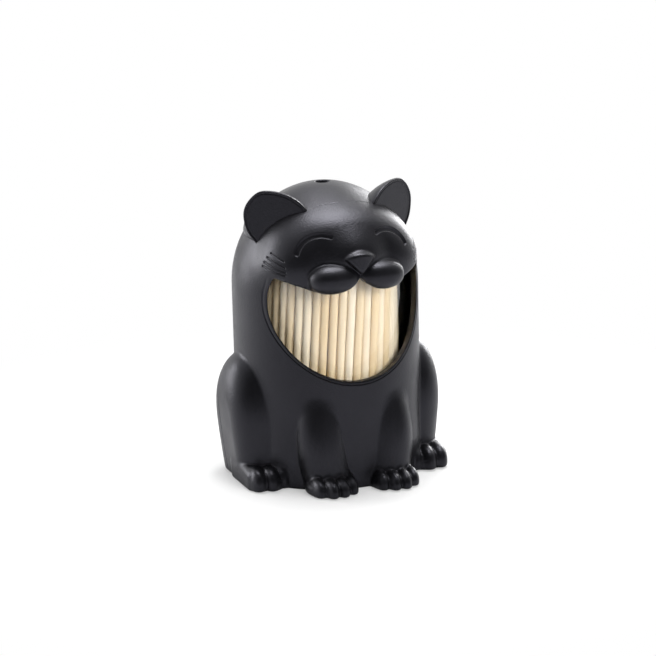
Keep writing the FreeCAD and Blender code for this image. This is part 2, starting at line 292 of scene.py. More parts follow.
@dataclass(frozen=True)
class Engraving:
    """What is cut into the face: a closed eye and four whiskers on each side.

    Each whisker has two ends, each with its angle round the head in degrees and its height. A line has its
    full depth up to the first of its half widths, and none from the second.
    """

    eye_centre: Pair = (9.05, 64.15)
    eye_radius: float = 7.2
    eye_ends: Pair = (21.0, 110.0)
    eye_depth: float = 0.55
    eye_half: Pair = (0.28, 0.70)
    whiskers: tuple[tuple[Pair, Pair], ...] = (
        ((54.8, 66.2), (44.4, 64.6)), ((57.6, 65.0), (43.4, 62.9)),
        ((59.9, 63.5), (43.1, 61.7)), ((61.4, 62.3), (43.4, 60.8)))
    head_radius: float = 27.1
    whisker_depth: float = 0.30
    whisker_half: Pair = (0.06, 0.40)
    face_back: float = -6.9

    def depth(self, p: Array) -> Array:
        """Depth below the form: the eye is an arc of the front view, a whisker straight when unrolled."""
        x, z = np.abs(p[:, 0]), p[:, 2]
        across, up = x - self.eye_centre[0], z - self.eye_centre[1]
        held = np.clip(np.arctan2(up, across), *np.radians(self.eye_ends))
        gap = np.hypot(across - self.eye_radius * np.cos(held), up - self.eye_radius * np.sin(held))
        depth = self.eye_depth * (1.0 - eased(gap, *self.eye_half))
        here = np.stack([np.arctan2(x, -p[:, 1]) * self.head_radius, z], 1)
        for ends in self.whiskers:
            a, b = (np.array([math.radians(turn) * self.head_radius, height]) for turn, height in ends)
            t = np.clip((here - a) @ (b - a) / ((b - a) @ (b - a)), 0.0, 1.0)
            gap = np.linalg.norm(here - a - t[:, None] * (b - a), axis=1)
            depth = np.maximum(depth, self.whisker_depth * (1.0 - eased(gap, *self.whisker_half)))
        return depth * (p[:, 1] < self.face_back)


@dataclass(frozen=True)
class CatForms:
    """The outer form of the cat, the same left and right but for its tail. Z up, the cat faces -Y.

    The face's balls, which are the mask, cheek, snout and lip, have their heights above the spring line.
    """

    body_radius: float = 26.1
    dome_height: float = 28.2
    spring: float = 53.45
    cavity_radius: float = 24.0
    wall: float = 2.1
    outlet_radius: float = 2.1
    floor_rounding: float = 0.8
    face: tuple[Ball, ...] = (
        Ball((0.0, -9.1, 12.0), (20.6, 16.6, 13.0), 2.6),
        Ball((11.0, -12.5, 8.4), (10.4, 10.8, 8.2), 4.0),
        Ball((0.0, -20.4, 10.8), (8.5, 8.0, 6.6), 3.0),
        Ball((6.2, -24.4, 6.2), (7.4, 5.7, 4.35), 0.6, 2.2))
    nose: Nose = Nose()
    nose_soft: float = 0.4
    nose_back: float = -17.0
    haunch: Haunch = Haunch()
    hind_foot: HindFoot = HindFoot()
    leg: Leg = Leg()
    paw: Ball = Ball((9.2, -25.5, 1.2), (7.0, 6.8, 3.3), 0.9, 2.2)
    paw_toes: Toes = Toes(((4.6, -27.4), (7.6, -28.85), (10.7, -28.85), (13.6, -26.9)), 1.4,
                          (2.05, 4.85, 3.45), 2.1, 0.3)
    tail: Tail = Tail()
    engraving: Engraving = Engraving()
    head_from: float = 49.0
    haunch_to: float = 38.0
    tail_to: float = 12.0
    foot_to: float = 4.0

    def body(self, p: Array) -> Array:
        """Upright cylinder under half an ellipsoid."""
        rho = np.hypot(p[:, 0], p[:, 1])
        q = np.stack([rho, np.zeros_like(rho), p[:, 2] - self.spring], 1)
        dome = ellipsoid(q, (0, 0, 0), (self.body_radius, FAR, self.dome_height))
        return np.where(p[:, 2] < self.spring, rho - self.body_radius, dome)

    def head(self, p: Array, f: Array) -> Array:
        """Adds the face's balls and the nose to the dome. p has x made positive."""
        q = p - [0.0, 0.0, self.spring]
        for ball in self.face:
            f = ball.join(q, f)
        return np.where(q[:, 1] < self.nose_back, merged(f, self.nose.distance(q), self.nose_soft), f)

    def low_parts(self, p: Array, f: Array) -> Array:
        """Adds haunches, hind feet, front legs and paws. p has x made positive."""
        f = self.leg.join(p, self.hind_foot.join(p, self.haunch.join(p, f)))
        return merged(f, self.paw_toes.join(p, self.paw.distance(p)), self.paw.soft)

    def distance(self, points: Array) -> Array:
        """Distance to the outer form without its engraving, mm, negative inside.

        Args:
            points: places, one row each, mm.

        Returns:
            One distance a row. Small and smooth near the surface, which is all that the search needs.
        """
        p = points.copy()
        p[:, 0] = np.abs(p[:, 0])
        f = self.body(p)
        high = p[:, 2] > self.head_from
        f[high] = self.head(p[high], f[high])
        low = p[:, 2] < self.haunch_to
        f[low] = self.low_parts(p[low], f[low])
        back = (points[:, 1] > 0.0) & (points[:, 2] < self.tail_to)
        f[back] = self.tail.join(points[back], f[back], self.body_radius)
        foot = p[:, 2] < self.foot_to
        f[foot] = shared(f[foot], -p[foot, 2], self.floor_rounding)
        return f

    def slope(self, place: Array, way: Array, here: Array, least: float, step: float = 0.02) -> Array:
        """How fast the distance grows along each row's direction, and at least a given value."""
        return np.maximum((self.distance(place + way * step) - here) / step, least)

    def strike(self, base: Array, way: Array, far: float = 14.0) -> Array:
        """Where lines that come in from outside first meet the form.

        Args:
            base: a place on each line, near the surface, mm.
            way: unit direction of each line, pointing outwards.
            far: how far out the search starts, mm.

        Returns:
            The places met. Each step moves in by part of the distance, then the last ones by its slope.
        """
        t = np.full(len(base), far)
        for _ in range(26):
            t -= 0.85 * self.distance(base + way * t[:, None])
        for _ in range(6):
            place = base + way * t[:, None]
            here = self.distance(place)
            t -= np.clip(here / self.slope(place, way, here, 0.12), -0.4, 0.4)
        return base + way * t[:, None]


# ------------------------------------------------------------------ lines that fan out of the body


@dataclass(frozen=True)
class Fan:
    """Lines out of the body, named by an angle round it and a height up its outline.

    Up to the spring line the height is in mm, and above it grows with the dome's own angle.
    """

    forms: CatForms
    dome_scale: float = 27.0
    tilt_heights: tuple[float, ...] = (0.0, 2.0, 4.0, 6.0, 10.0, 18.0, 26.0, 33.0, 38.0, 44.0, 60.0)
    tilts: tuple[float, ...] = (0.0, 0.35, 0.75, 0.80, 0.45, 0.20, 0.25, 0.50, 0.30, 0.05, 0.0)

    def size(self, inside: bool) -> Pair:
        """Radius and dome height of the skin or of the inside wall."""
        f = self.forms
        return (f.cavity_radius, f.dome_height - f.wall) if inside else (f.body_radius, f.dome_height)

    def outline(self, height: Array, inside: bool) -> tuple[Array, Array]:
        """Radius and z at a height up the plain outline: a straight line, then a quarter ellipse."""
        radius, dome = self.size(inside)
        spring = self.forms.spring
        angle = np.clip((height - spring) / self.dome_scale, 0.0, math.pi / 2)
        return radius * np.cos(angle), np.where(height < spring, height, spring + dome * np.sin(angle))

    def base(self, turn: Array, height: Array) -> tuple[Array, Array]:
        """Places on the plain body and the outward directions there.

        Args:
            turn: angle round the body from its front, radians.
            height: height up the outline.

        Returns:
            Places and unit directions, a row each. Below the spring line a line leans up by its tilt;
            on the dome all lines leave the dome's centre.
        """
        spring = self.forms.spring
        rho, z = self.outline(height, inside=False)
        tilt = np.interp(height, self.tilt_heights, self.tilts)
        rise = np.where(height < spring, tilt, (z - spring) / np.maximum(rho, 1e-6))
        size = np.sqrt(1.0 + rise * rise)
        place = np.stack([rho * np.sin(turn), -rho * np.cos(turn), z], 1)
        way = np.stack([np.sin(turn) / size, -np.cos(turn) / size, rise / size], 1)
        return place, way

    def inner(self, turn: Array, height: Array) -> Array:
        """Places on the plain inside wall for an angle and a height."""
        rho, z = self.outline(height, inside=True)
        return np.stack([rho * np.sin(turn), -rho * np.cos(turn), z], 1)

    def named(self, x: Array, z: Array, inside: bool = False) -> tuple[Array, Array]:
        """Angle and height of places of the skin or the inside wall that are seen at x, z from the front."""
        radius, dome = self.size(inside)
        spring = self.forms.spring
        angle = np.arcsin(np.clip((z - spring) / dome, 0.0, 1.0))
        height = np.where(z < spring, z, spring + angle * self.dome_scale)
        return np.arcsin(np.clip(x / (radius * np.cos(angle)), -1.0, 1.0)), height

    def inner_y(self, x: Array, z: Array) -> Array:
        """Y of the inside wall seen at x, z from the front."""
        radius, dome = self.size(inside=True)
        up = np.clip((z - self.forms.spring) / dome, 0.0, 1.0)
        return -np.sqrt(radius ** 2 * (1 - up * up) - x * x)

    def rim_height(self, radius: float, inside: bool) -> float:
        """Height up the outline where a round hole of a radius in the crown begins."""
        return self.forms.spring + math.acos(radius / self.size(inside)[0]) * self.dome_scale


# ------------------------------------------------------------------ lines and meshes


def between(at: Array, grid: Array, line: Array) -> Array:
    """Rows of a two-column line at given places along it."""
    return np.stack([np.interp(at, grid, line[:, i]) for i in (0, 1)], 1)


def evenly(line: Array, count: int) -> tuple[Array, float]:
    """A number of points at even steps along a two-column line, and the line's length."""
    length = np.concatenate([[0.0], np.cumsum(np.hypot(*np.diff(line, axis=0).T))])
    return between(np.linspace(0, length[-1], count), length, line), length[-1]


@dataclass
class Sheets:
    """Several grids of points, collected into one mesh."""

    points: list[Array] = field(default_factory=list)
    faces: list[Array] = field(default_factory=list)
    count: int = 0

    def add(self, grid: Array, closed: bool = False, flip: bool = False) -> None:
        """Adds a grid.

        Args:
            grid: rows by columns by 3, mm.
            closed: joins the last column to the first.
            flip: turns the faces over.
        """
        rows, columns = grid.shape[:2]
        index = self.count + np.arange(rows * columns).reshape(rows, columns)
        if closed:
            index = np.concatenate([index, index[:, :1]], 1)
        quads = np.stack([index[:-1, :-1], index[:-1, 1:], index[1:, 1:], index[1:, :-1]], -1)
        quads = quads.reshape(-1, 4)
        self.faces.append(quads[:, ::-1] if flip else quads)
        self.points.append(grid.reshape(-1, 3))
        self.count += rows * columns

    def mesh(self, name: str) -> bpy.types.Mesh:
        """The mesh of all grids, in metres, with shared edges joined and smooth shading."""
        points = np.concatenate(self.points) * MM
        faces = np.concatenate(self.faces)
        mesh = bpy.data.meshes.new(name)
        mesh.vertices.add(len(points))
        mesh.vertices.foreach_set("co", points.ravel())
        mesh.loops.add(faces.size)
        mesh.loops.foreach_set("vertex_index", faces.ravel().astype(np.int32))
        mesh.polygons.add(len(faces))
        mesh.polygons.foreach_set("loop_start", np.arange(0, faces.size, 4, dtype=np.int32))
        mesh.update(calc_edges=True)
        mesh.validate()
        work = bmesh.new()
        work.from_mesh(mesh)
        bmesh.ops.remove_doubles(work, verts=work.verts, dist=2e-6)
        bmesh.ops.dissolve_degenerate(work, edges=work.edges, dist=1e-6)
        work.to_mesh(mesh)
        work.free()
        mesh.polygons.foreach_set("use_smooth", np.ones(len(mesh.polygons), bool))
        return mesh


def placed(mesh: bpy.types.Mesh, name: str, body: str, slot: str, material: bpy.types.Material,
           *nodes: str) -> None:
    """Puts a mesh into the scene as a piece that rides on a body.

    Args:
        mesh: its mesh, already in place.
        name: the piece's name.
        body: the body it moves with.
        slot: the record's slot its finish belongs to. Not used.
        material: its finish.
        nodes: the solids it stands for.
    """
    piece = bpy.data.objects.new(name, mesh)
    bpy.context.scene.collection.objects.link(piece)
    mesh.materials.append(material)
    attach(piece, body)
    if nodes:
        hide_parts(*nodes)
    log.info("%s: %d faces, rides on %s", name, len(mesh.polygons), body)


# ------------------------------------------------------------------ finishes


def linear(code: str) -> tuple[float, float, float, float]:
    """A hex sRGB colour as linear red, green, blue and full alpha."""
    parts = [int(code[i:i + 2], 16) / 255.0 for i in (1, 3, 5)]
    light = [c / 12.92 if c <= 0.04045 else ((c + 0.055) / 1.055) ** 2.4 for c in parts]
    return (light[0], light[1], light[2], 1.0)


def add_node(tree: bpy.types.NodeTree, kind: str, settings: dict | None = None,
             links: dict | None = None) -> bpy.types.Node:
    """Adds a shader node.

    Args:
        tree: the material's nodes.
        kind: the node's type.
        settings: values by input name or number, or by attribute where no input has that name.
        links: output sockets by input name or number.

    Returns:
        The node.
    """
    node = tree.nodes.new(kind)
    for key, value in (settings or {}).items():
        if isinstance(key, str) and key not in node.inputs:
            setattr(node, key, value)
    for key, value in (settings or {}).items():
        if not isinstance(key, str) or key in node.inputs:
            node.inputs[key].default_value = value
    for key, socket in (links or {}).items():
        tree.links.new(socket, node.inputs[key])
    return node


def mixed(tree: bpy.types.NodeTree, share: bpy.types.NodeSocket, none: bpy.types.NodeSocket,
          full: bpy.types.NodeSocket) -> bpy.types.NodeSocket:
    """One shader where a share is 0 and another where it is 1."""
    return add_node(tree, "ShaderNodeMixShader", None, {0: share, 1: none, 2: full}).outputs["Shader"]


def new_material(name: str) -> tuple[bpy.types.Material, bpy.types.NodeTree]:
    """An empty node material and its tree."""
    material = bpy.data.materials.new(name)
    material.use_nodes = True
    material.node_tree.nodes.clear()
    return material, material.node_tree


@dataclass(frozen=True)
class MouldedBlack:
    """Matt black ABS from a spark-eroded mould: near black, with a broad sheen broken by a fine grain.

    The grain is drawn at half a millimetre, which is coarser than real spark grain, so that it shows.
    """

    name: str = "moulded_black_abs"
    colour: str = "#0e0e10"
    sheen: str = "#efeeff"
    roughness: float = 0.37
    ior: float = 1.45
    grain_mm: float = 0.5
    grain_depth_mm: float = 0.055
    cloud_mm: float = 9.0

    def build(self) -> bpy.types.Material:
        """Roughness varied in broad clouds, and a bump of the grain's own size."""
        material, tree = new_material(self.name)
        where = add_node(tree, "ShaderNodeTexCoord").outputs["Object"]
        grain = add_node(tree, "ShaderNodeTexNoise", {"Scale": 1.0 / (self.grain_mm * MM), "Detail": 2.0,
                         "Roughness": 0.6}, {"Vector": where})
        cloud = add_node(tree, "ShaderNodeTexNoise", {"Scale": 1.0 / (self.cloud_mm * MM), "Detail": 3.0},
                         {"Vector": where})
        rough = add_node(tree, "ShaderNodeMapRange", {"From Min": 0.3, "From Max": 0.7,
                         "To Min": self.roughness - 0.04, "To Max": self.roughness + 0.06},
                         {"Value": cloud.outputs["Fac"]})
        bump = add_node(tree, "ShaderNodeBump", {"Strength": 1.0, "Distance": self.grain_depth_mm * MM},
                        {"Height": grain.outputs["Fac"]})
        shader = add_node(tree, "ShaderNodeBsdfPrincipled", {"Base Color": linear(self.colour),
                          "IOR": self.ior, "Specular Tint": linear(self.sheen)},
                          {"Roughness": rough.outputs["Result"], "Normal": bump.outputs["Normal"]})
        add_node(tree, "ShaderNodeOutputMaterial", None, {"Surface": shader.outputs["BSDF"]})
        return material


@dataclass(frozen=True)
class ClearStyrene:
    """Clear polystyrene, polished: seen only by its reflections and its bright rim."""

    name: str = "clear_polystyrene"
    roughness: float = 0.03
    ior: float = 1.59
    let_through: float = 0.96

    def build(self) -> bpy.types.Material:
        """Clear glass-like plastic that lets lamps through."""
        material, tree = new_material(self.name)
        glass = add_node(tree, "ShaderNodeBsdfPrincipled", {"Base Color": (1.0, 1.0, 1.0, 1.0),
                         "Roughness": self.roughness, "IOR": self.ior, "Transmission Weight": 1.0})
        clear = add_node(tree, "ShaderNodeBsdfTransparent", {"Color": (*[self.let_through] * 3, 1.0)})
        path = add_node(tree, "ShaderNodeLightPath")
        surface = mixed(tree, path.outputs["Is Shadow Ray"], glass.outputs["BSDF"], clear.outputs["BSDF"])
        add_node(tree, "ShaderNodeOutputMaterial", None, {"Surface": surface})
        return material


@dataclass(frozen=True)
class BarePick:
    """Turned birch, bare: pale cream with faint long grain, each pick a little different."""

    name: str = "bare_birch"
    pale: str = "#f5e9d0"
    warm: str = "#e4cca0"
    roughness: float = 0.62
    grain_mm: float = 0.35
    grain_depth_mm: float = 0.02
    stretch: float = 0.04

    def build(self) -> bpy.types.Material:
        """Tone of each pick from its attribute, streaks stretched along the pick."""
        material, tree = new_material(self.name)
        where = add_node(tree, "ShaderNodeTexCoord").outputs["Object"]
        tone = add_node(tree, "ShaderNodeAttribute", {"attribute_name": "tone"}).outputs["Fac"]
        along = add_node(tree, "ShaderNodeMapping", {"Scale": (1.0, 1.0, self.stretch)}, {"Vector": where})
        streak = add_node(tree, "ShaderNodeTexNoise", {"Scale": 1.0 / (self.grain_mm * MM), "Detail": 2.0},
                          {"Vector": along.outputs["Vector"]})
        weight = add_node(tree, "ShaderNodeMath", {"operation": "MULTIPLY_ADD", 1: 0.45},
                          {0: streak.outputs["Fac"], 2: tone})
        shift = add_node(tree, "ShaderNodeMapRange", {"From Min": 0.15, "From Max": 1.25},
                         {"Value": weight.outputs["Value"]})
        mix = add_node(tree, "ShaderNodeMix", {"data_type": "RGBA"}, {0: shift.outputs["Result"]})
        mix.inputs[6].default_value = linear(self.pale)
        mix.inputs[7].default_value = linear(self.warm)
        bump = add_node(tree, "ShaderNodeBump", {"Strength": 0.5, "Distance": self.grain_depth_mm * MM},
                        {"Height": streak.outputs["Fac"]})
        shader = add_node(tree, "ShaderNodeBsdfPrincipled", {"Roughness": self.roughness},
                          {"Base Color": mix.outputs[2], "Normal": bump.outputs["Normal"]})
        add_node(tree, "ShaderNodeOutputMaterial", None, {"Surface": shader.outputs["BSDF"]})
        return material


# ------------------------------------------------------------------ the two glued shells


@dataclass(frozen=True)
class Zone:
    """A part of the skin, the same left and right: limits in mm, of the angle from the front in degrees."""

    z: Pair
    x_to: float = FAR
    y_to: float = FAR
    x_from: float = -1.0
    around: Pair = (-1.0, 181.0)
    radius_from: float = 0.0

    def holds(self, p: Array) -> Array:
        """True for places within all limits."""
        x, y, z = np.abs(p[:, 0]), p[:, 1], p[:, 2]
        around = np.degrees(np.arctan2(x, -y))
        return ((z > self.z[0]) & (z < self.z[1]) & (x > self.x_from) & (x < self.x_to) & (y < self.y_to)
                & (around > self.around[0]) & (around < self.around[1]) & (np.hypot(x, y) > self.radius_from))


EYES = Zone((65.6, 73.0), x_from=5.0, x_to=17.8, y_to=-7.0)
WHISKERS = Zone((59.8, 67.4), around=(41.0, 63.0))
NOSE = Zone((60.0, 69.0), x_to=5.8, y_to=-18.0)
TOES = Zone((0.6, 7.6), y_to=-9.0, radius_from=25.6)
LIPS = Zone((55.0, 68.0), x_to=17.0, y_to=-15.0)


@dataclass
class CatShell:
    """Outer skin, mouth window and inner wall of the cat, split at its seam into front and back.

    Lengths are in mm. The seam runs up the side, steps forward along the shoulder, goes up in front of the
    ears and crosses the crown between them.
    """

    forms: CatForms
    mouth_radius: float = 22.0
    mouth_centre: float = 52.4
    mouth_corner: float = 59.6
    lobe_x: float = 8.7
    lobe_low: float = 55.8
    lobe_radius: float = 11.2
    lobe_reach: float = 5.3
    outline_blur: float = 0.4
    outline_steps: int = 6000
    rim_rounding: float = 0.45
    lip_rounding: float = 0.95
    groove_depth: float = 0.2
    edge_width: float = 1.62
    low_height: float = 26.0
    top_angle: float = 66.0
    chest_height: float = 30.0
    seam_side_y: float = 4.1
    seam_shoulder: float = 67.65
    seam_ear: Point = (10.0, -13.55, 33.0)
    seam_crown_step: float = 0.55
    seam_depth: float = 0.16
    seam_crown_share: float = 0.4
    seam_half: float = 0.22
    seam_near: float = 1.6
    on_form_within: float = 0.03
    across: int = 180
    up_side: int = 96
    over_lip: int = 120
    rings: int = 72
    low_rows: int = 110
    top_rows: int = 36
    back_columns: int = 200

    def __post_init__(self) -> None:
        """Works out what several methods share."""
        self.fan = Fan(self.forms)
        self.top_height = self.forms.spring + math.radians(self.top_angle) * self.fan.dome_scale

    def half_outline(self) -> tuple[Array, float]:
        """The mouth's outline from the chin to the cusp of the lips, and the length of its round rim.

        Returns:
            Points (n, 2): a circle's arc, a straight run and the arc of a lip lobe. The rim's length is in mm.
        """
        def arc(x: float, z: float, radius: float, angles: Array) -> Array:
            """Points of a circle."""
            return np.stack([x + radius * np.cos(angles), z + radius * np.sin(angles)], 1)

        radius, corner_up = self.mouth_radius, self.mouth_corner - self.mouth_centre
        start, end = -math.pi / 2, math.atan2(corner_up, math.sqrt(radius ** 2 - corner_up ** 2))
        rim = arc(0.0, self.mouth_centre, radius, np.linspace(start, end, 900))
        lobe_z = self.lobe_low + self.lobe_radius
        turn_z = lobe_z - math.sqrt(self.lobe_radius ** 2 - self.lobe_reach ** 2)
        turn = np.array([self.lobe_x + self.lobe_reach, turn_z])
        run = rim[-1] + (turn - rim[-1]) * np.linspace(0, 1, 160)[1:, None]
        turn_angle = math.atan2(turn_z - lobe_z, self.lobe_reach)
        cusp_angle = math.acos(self.lobe_x / self.lobe_radius) - math.pi
        lobe = arc(self.lobe_x, lobe_z, self.lobe_radius, np.linspace(turn_angle, cusp_angle, 340)[1:])
        return np.concatenate([rim, run, lobe]), radius * (end - start)

    def contour(self) -> tuple[Array, Array, Array]:
        """The mouth's outline in the front view, its outward normals and its share of plain rim.

        Returns:
            Points (n, 2), normals (n, 2) and a weight that is 1 on the round rim and 0 on the lip. The outline
            is spaced evenly and its corners are rounded by a Gaussian along it. Its columns go across the
            chin, up the side, over the lip and back.
        """
        half, rim_end = self.half_outline()
        loop = np.concatenate([half, half[-2:0:-1] * [-1.0, 1.0], half[:1]])
        fine, length = evenly(loop, self.outline_steps + 1)
        steps = self.outline_steps
        wave = np.fft.rfftfreq(steps, length / steps)
        blur = np.exp(-2.0 * (math.pi * self.outline_blur * wave) ** 2)[:, None]
        fine = np.fft.irfft(np.fft.rfft(fine[:-1], axis=0) * blur, steps, axis=0)
        chin_end = self.mouth_radius * math.radians(60.0)
        marks = [0.0, chin_end, rim_end + 0.6, length / 2]
        counts = [self.across, self.up_side, self.over_lip]
        parts = [np.linspace(marks[i], marks[i + 1], counts[i], endpoint=False) for i in range(3)]
        right = np.concatenate(parts)
        at = np.concatenate([right, [length / 2], length - right[:0:-1]])
        closed = np.concatenate([fine, fine[:1]])
        grid = np.linspace(0, length, steps + 1)
        slope = np.gradient(closed, axis=0)
        slope[0] = slope[-1] = closed[1] - closed[-2]
        slope = between(at, grid, slope)
        normals = np.stack([slope[:, 1], -slope[:, 0]], 1)
        normals /= np.linalg.norm(normals, axis=1, keepdims=True)
        gone = np.minimum(at, length - at)
        return between(at, grid, closed), normals, 1.0 - eased(gone, rim_end - 3.0, rim_end + 0.5)

    def front_edge(self) -> tuple[Array, Array]:
        """Angle and height round the front's outer edge, one for each column of the mouth's outline."""
        quarter = math.pi / 2
        low, top = self.low_height, self.top_height
        a, b, c = (np.linspace(0, 1, n, endpoint=False) for n in (self.across, self.up_side, self.over_lip))
        turn = np.concatenate([a * quarter, np.full(self.up_side, quarter), quarter * (1 - c)])
        height = np.concatenate([np.full(self.across, low), low + b * (top - low),
                                 np.full(self.over_lip, top)])
        return (np.concatenate([turn, [0.0], -turn[:0:-1]]), np.concatenate([height, [top], height[:0:-1]]))

    def profile(self, rim: Array) -> tuple[Array, Array]:
        """Rows of the mouth's edge: how far outside the outline, and how deep below the skin.

        Args:
            rim: 1 on the round rim and 0 on the lip, for each column.

        Returns:
            Two grids, rows by columns: a quarter circle, then on the rim a bead and a fine groove, whose rows
            are named by their place and their share of the groove's depth.
        """
        arcs = np.radians([90.0, 72.0, 54.0, 36.0, 18.0, 0.0])
        groove = np.array([(0.56, 0.0), (0.64, 0.03), (0.70, 0.6), (0.79, 1.0), (0.88, 1.0), (0.97, 0.6),
                           (1.04, 0.03), (1.2, 0.0), (1.4, 0.0), (self.edge_width, 0.0)])
        plain = np.stack([np.linspace(1.0, self.edge_width, len(groove)), np.zeros(len(groove))], 1)
        grids = []
        for side, depth in ((0, self.groove_depth), (1, 0.0)):
            radius, rest = ((self.rim_rounding, groove), (self.lip_rounding, plain))[side]
            grids.append((np.concatenate([radius * (1 - np.sin(arcs)), rest[:, 0]]),
                          np.concatenate([radius * (1 - np.cos(arcs)), rest[:, 1] * depth])))
        (out_rim, deep_rim), (out_lip, deep_lip) = grids
        return (np.outer(out_rim, rim) + np.outer(out_lip, 1 - rim),
                np.outer(deep_rim, rim) + np.outer(deep_lip, 1 - rim))

    def front_sheets(self) -> tuple[Sheets, Array]:
        """The skin round the mouth and above it, with the window's wall and the wall inside.

        Returns:
            The sheets, and the angle of each column at the front's outer edge.
        """
        points, normals, rim = self.contour()
        x0, z0 = points.T
        out, deep = self.profile(rim)
        x = x0 + normals[:, 0] * out
        z = z0 + normals[:, 1] * out
        rows, columns = x.shape
        turn, height = self.fan.named(x.ravel(), z.ravel())
        base, _ = self.fan.base(turn, height)
        base[:, 0], base[:, 2] = x.ravel(), z.ravel()
        forwards = np.array([0.0, -1.0, 0.0])
        edge = self.forms.strike(base, np.tile(forwards, (len(base), 1))).reshape(rows, columns, 3)
        edge[:, :, 1] += deep
        # rings from the mouth's edge out to the front's edge, which look straight ahead near the mouth
        far_turn, far_height = self.front_edge()
        turn, height = turn.reshape(rows, columns)[-1], height.reshape(rows, columns)[-1]
        share = (np.arange(1, self.rings + 1) / self.rings) ** 1.12
        g = share[:, None]
        ring_turn = turn * (1 - g) + far_turn * g
        ring_height = height * (1 - g) + far_height * g
        base, way = self.fan.base(ring_turn.ravel(), ring_height.ravel())
        ahead = 1.0 - eased(np.repeat(share, columns), 0.0, 0.4)[:, None]
        way = way * (1 - ahead) + forwards * ahead
        way /= np.linalg.norm(way, axis=1, keepdims=True)
        skin = self.forms.strike(base, way).reshape(self.rings, columns, 3)
        # the window's wall runs straight back to the inside, then the inside runs out again
        wall_y = self.fan.inner_y(x0, z0)
        wall = [np.stack([x0, edge[0, :, 1] * (1 - t) + wall_y * t, z0], 1) for t in (1.0, 0.97, 0.66, 0.33)]
        inner_turn, inner_height = self.fan.named(x0, z0, inside=True)
        inside = [self.fan.inner(inner_turn * (1 - t) + far_turn * t, inner_height * (1 - t) + far_height * t)
                  for t in np.linspace(1.0, 0.0, 14)]
        inside[-1] = wall[0]
        sheets = Sheets()
        sheets.add(np.concatenate([np.stack(inside), np.stack(wall[1:]), edge, skin]), closed=True, flip=True)
        return sheets, far_turn

    def cast(self, turns: Array, heights: Array) -> tuple[Array, Array]:
        """Grids of the skin and of the inside wall for every height and angle."""
        shape = (len(heights), len(turns), 3)
        t, h = np.meshgrid(turns, heights)
        skin = self.forms.strike(*self.fan.base(t.ravel(), h.ravel())).reshape(shape)
        inner_rim = self.fan.rim_height(self.forms.outlet_radius, inside=True)
        h[-1] = min(heights[-1], inner_rim)
        return skin, self.fan.inner(t.ravel(), h.ravel()).reshape(shape)

    def whole(self) -> bpy.types.Mesh:
        """The closed shell of the cat as one mesh, before it is split at the seam."""
        sheets, far_turn = self.front_sheets()
        chin = np.concatenate([far_turn[-self.across:], far_turn[:self.across + 1]])
        lip_start = self.across + self.up_side
        crown = far_turn[lip_start:lip_start + 2 * self.over_lip + 1][::-1]
        back = np.linspace(math.pi / 2, 3 * math.pi / 2, self.back_columns + 1)
        low = self.low_height * (np.arange(self.low_rows + 1) / self.low_rows) ** 1.4
        side = np.linspace(self.low_height, self.top_height, self.up_side + 1)
        rim_height = self.fan.rim_height(self.forms.outlet_radius, inside=False)
        top = np.linspace(self.top_height, rim_height, self.top_rows + 1)
        full = np.concatenate([low[:-1], side, top[1:]])
        for turns, heights in ((chin, low), (back, full), (crown, top)):
            skin, inside = self.cast(turns, heights)
            if heights[0] == 0.0:
                skin[0, :, 2] = inside[0, :, 2] = 0.0
                sheets.add(np.stack([skin[0] * (1 - t) + inside[0] * t for t in (1.0, 0.66, 0.33, 0.0)]))
            sheets.add(skin)
            sheets.add(inside, flip=True)
            if heights[-1] > self.top_height:
                # the outlet's bore
                sheets.add(np.stack([skin[-1] * (1 - t) + inside[-1] * t for t in (0.0, 0.5, 1.0)]))
        return sheets.mesh("cat_shell")

    def refined(self, mesh: bpy.types.Mesh) -> bpy.types.Mesh:
        """Divides the faces where the form is fine, lays the new points on the form and engraves the face.

        A point moves along its normal by the form's distance over its slope, a few times. Only faces whose
        corners lie on the form are divided, which leaves the window's rim as it is.
        """
        points = np.empty(len(mesh.vertices) * 3)
        mesh.vertices.foreach_get("co", points)
        points = points.reshape(-1, 3) / MM
        on_form = np.abs(self.forms.distance(points)) < self.on_form_within
        lines = on_form & (EYES.holds(points) | WHISKERS.holds(points))
        nose = on_form & NOSE.holds(points)
        mild = on_form & (TOES.holds(points) | LIPS.holds(points)) & ~nose & ~lines
        work = bmesh.new()
        work.from_mesh(mesh)
        work.verts.ensure_lookup_table()
        for chosen, cuts in ((lines, 4), (nose, 2), (mild, 1)):
            edges = [e for e in work.edges
                     if all(0 <= v.index < len(chosen) and chosen[v.index] for v in e.verts)]
            bmesh.ops.subdivide_edges(work, edges=edges, cuts=cuts, use_grid_fill=True)
        work.normal_update()
        verts = list(work.verts)
        fresh = [verts[i] for i in np.flatnonzero(lines)] + verts[len(points):]
        place = np.array([v.co for v in fresh]) / MM
        way = np.array([v.normal for v in fresh])
        for _ in range(4):
            here = self.forms.distance(place)
            step = np.clip(here / self.forms.slope(place, way, here, 0.3), -0.3, 0.3)
            place = place - way * step[:, None]
        place = place - way * self.forms.engraving.depth(place)[:, None]
        for vert, where in zip(fresh, place * MM):
            vert.co = where
        out = bpy.data.meshes.new("cat_shell_fine")
        work.to_mesh(out)
        work.free()
        log.info("fine places: %d points laid", len(fresh))
        return out

    def behind_seam(self, p: Array) -> Array:
        """True for places of the rear shell."""
        ex, ey, ew = self.seam_ear
        x, y, z = np.abs(p[:, 0]), p[:, 1], p[:, 2]
        w = math.radians(ew)
        by_ear = (y - ey) * math.cos(w) - (x - ex) * math.sin(w) > 0
        by_crown = y > ey - self.seam_crown_step * (1.0 - x / ex)
        up = np.where(x > ex, by_ear, by_crown)
        return np.where(z > self.seam_shoulder, up, y > self.seam_side_y)

